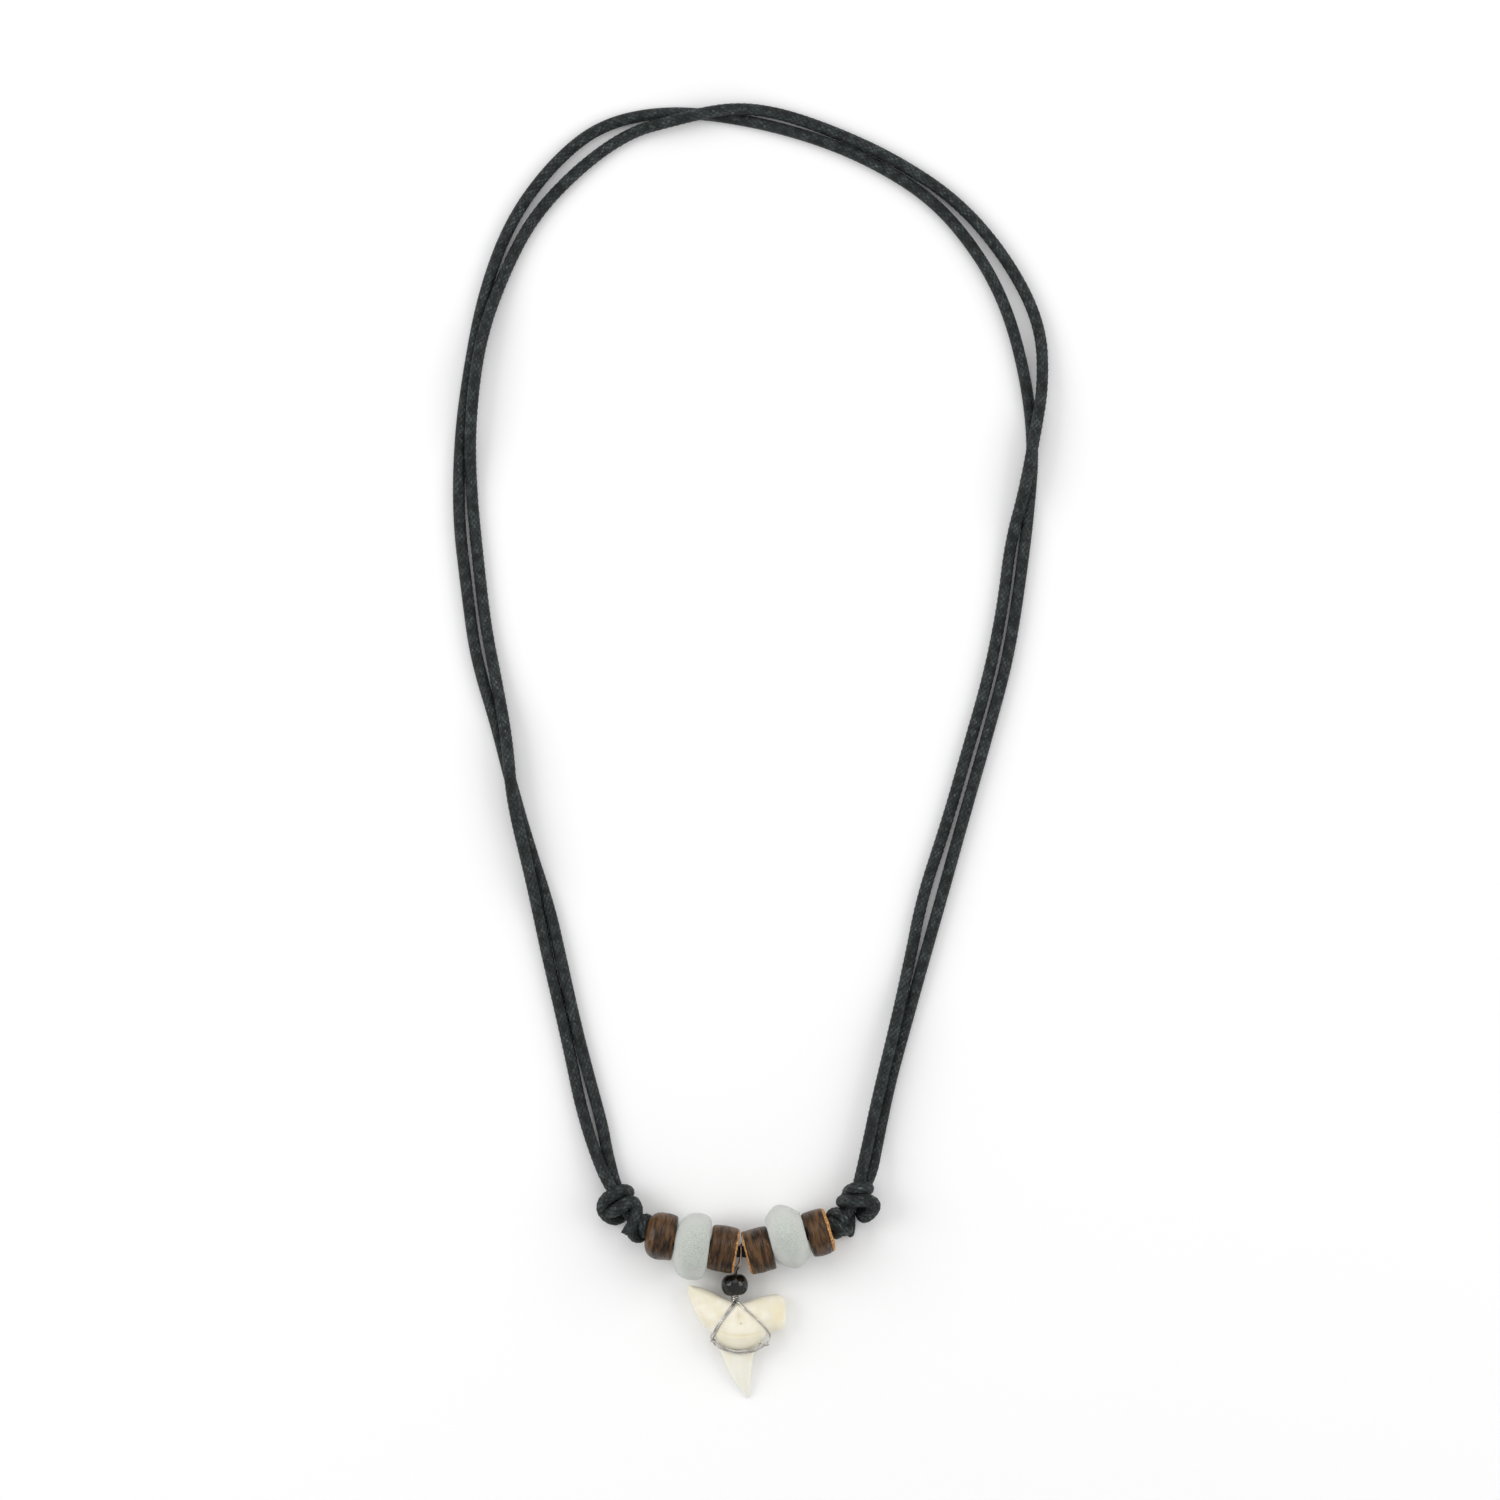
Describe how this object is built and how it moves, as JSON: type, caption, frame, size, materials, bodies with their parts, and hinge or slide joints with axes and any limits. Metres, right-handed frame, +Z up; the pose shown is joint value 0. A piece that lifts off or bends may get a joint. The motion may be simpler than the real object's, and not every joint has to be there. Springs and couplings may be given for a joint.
{
  "type": "shark tooth necklace",
  "caption": "Adjustable necklace of doubled black waxed cord with sliding knots, coconut shell and frosted glass beads and a wire-wrapped shark tooth pendant, lying flat",
  "frame": {"origin": "middle of the neck opening, on the surface the necklace lies on", "axes": "+Z up from that surface, +Y away from the pendant, +X to the right seen from above with the pendant at the bottom"},
  "size_m": [0.1, 0.2176, 0.0111],
  "materials": {
    "waxed_cord": "braided cotton, waxed, faint grey bloom on the ridges",
    "coconut_shell": "polished dark shell with a raw tan rim at the ends",
    "frosted_glass": "frosted pale sea green, fine speckle",
    "black_glass": "glossy black",
    "silver_wire": "bright drawn wire",
    "tooth_enamel": "ivory root, smoother white blade"
  },
  "bodies": {
    "root": {"upper_strand": "waxed_cord", "lower_strand": "waxed_cord", "bead_cord": "waxed_cord", "left_stopper_knot": "waxed_cord", "right_stopper_knot": "waxed_cord", "left_slide_knot": "waxed_cord", "right_slide_knot": "waxed_cord", "left_outer_coco_bead": "coconut_shell", "left_inner_coco_bead": "coconut_shell", "right_inner_coco_bead": "coconut_shell", "right_outer_coco_bead": "coconut_shell", "left_glass_bead": "frosted_glass", "right_glass_bead": "frosted_glass", "black_bead": "black_glass", "pendant_wire": "silver_wire", "shark_tooth": "tooth_enamel"}
  },
  "joints": []
}
